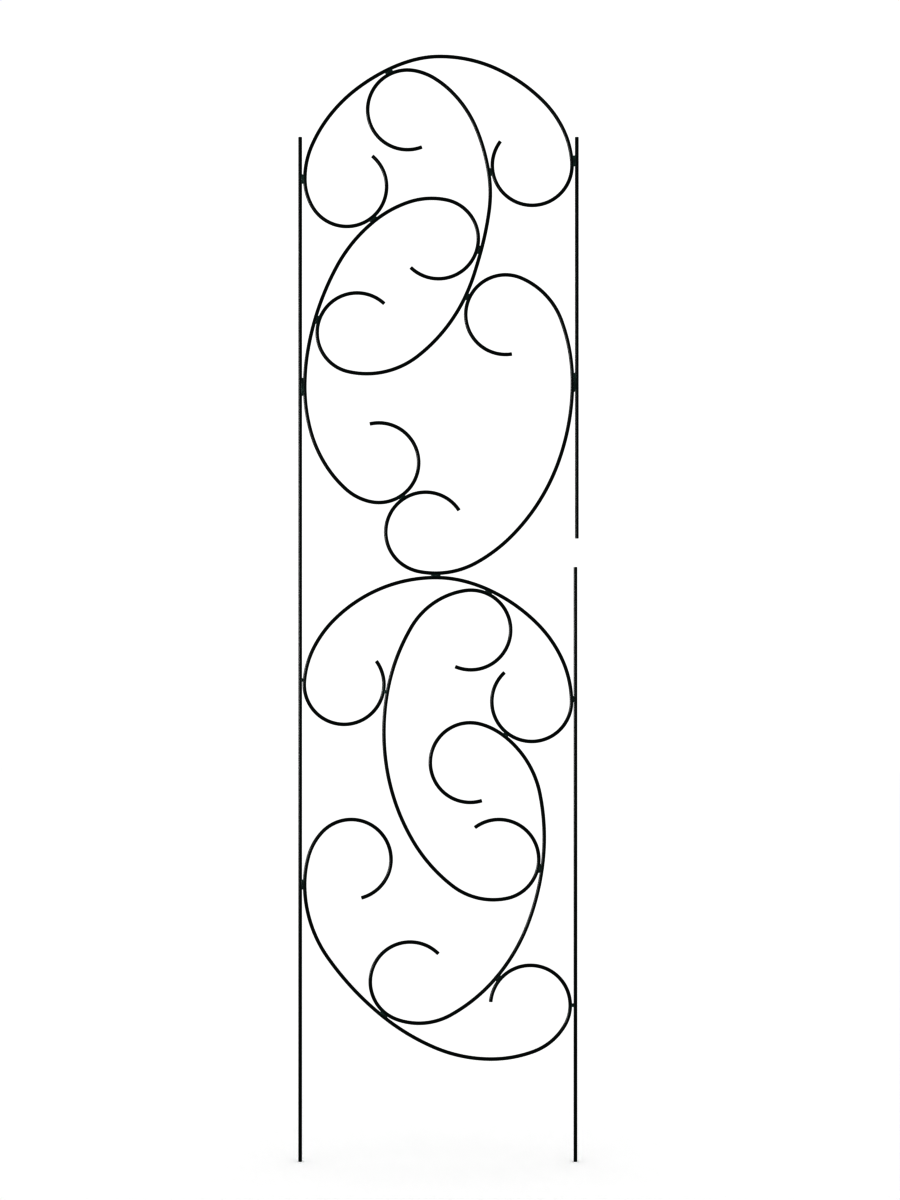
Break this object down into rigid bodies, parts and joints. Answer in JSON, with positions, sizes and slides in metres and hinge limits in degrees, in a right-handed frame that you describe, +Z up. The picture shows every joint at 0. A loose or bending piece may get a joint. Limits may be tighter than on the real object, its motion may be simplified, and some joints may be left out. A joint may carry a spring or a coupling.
{
  "type": "espalier frame",
  "caption": "Flat garden trellis frame of black enamelled round steel rod: C-shaped scrolls welded between two posts whose legs push into the soil.",
  "frame": {"origin": "middle of the frame across and through its thickness, at the level of the feet", "axes": "+Z up along the posts, +X to the right seen from the front, +Y away from the viewer"},
  "size_m": [0.506, 0.0068, 2],
  "materials": {
    "enamelled_bar": "gloss black enamel with a faint green cast",
    "enamelled_weld": "gloss enamel, greener where it pools on the weld beads"
  },
  "bodies": {
    "root": {"left_post": "enamelled_bar", "right_post_upper": "enamelled_bar", "right_post_lower": "enamelled_bar", "crown_scroll": "enamelled_bar", "upper_inner_scroll": "enamelled_bar", "upper_left_scroll": "enamelled_bar", "upper_right_scroll": "enamelled_bar", "middle_arch_scroll": "enamelled_bar", "lower_left_scroll": "enamelled_bar", "lower_right_scroll": "enamelled_bar", "base_scroll": "enamelled_bar", "weld_crown_left_post": "enamelled_weld", "weld_crown_right_post": "enamelled_weld", "weld_crown_inner_scroll": "enamelled_weld", "weld_crown_upper_left_scroll": "enamelled_weld", "weld_crown_inner_scroll_side": "enamelled_weld", "weld_inner_upper_left_curl": "enamelled_weld", "weld_inner_curl_upper_left_back": "enamelled_weld", "weld_upper_left_post": "enamelled_weld", "weld_inner_upper_right_curl": "enamelled_weld", "weld_upper_right_post": "enamelled_weld", "weld_upper_left_upper_right_curls": "enamelled_weld", "weld_upper_right_arch": "enamelled_weld", "weld_arch_left_post": "enamelled_weld", "weld_arch_lower_left_side": "enamelled_weld", "weld_arch_lower_left_top": "enamelled_weld", "weld_arch_right_post": "enamelled_weld", "weld_arch_lower_right_scroll": "enamelled_weld", "weld_lower_left_lower_right": "enamelled_weld", "weld_lower_right_base_curl": "enamelled_weld", "weld_lower_right_curl_base_back": "enamelled_weld", "weld_base_left_post": "enamelled_weld", "weld_base_right_post": "enamelled_weld"}
  },
  "joints": []
}
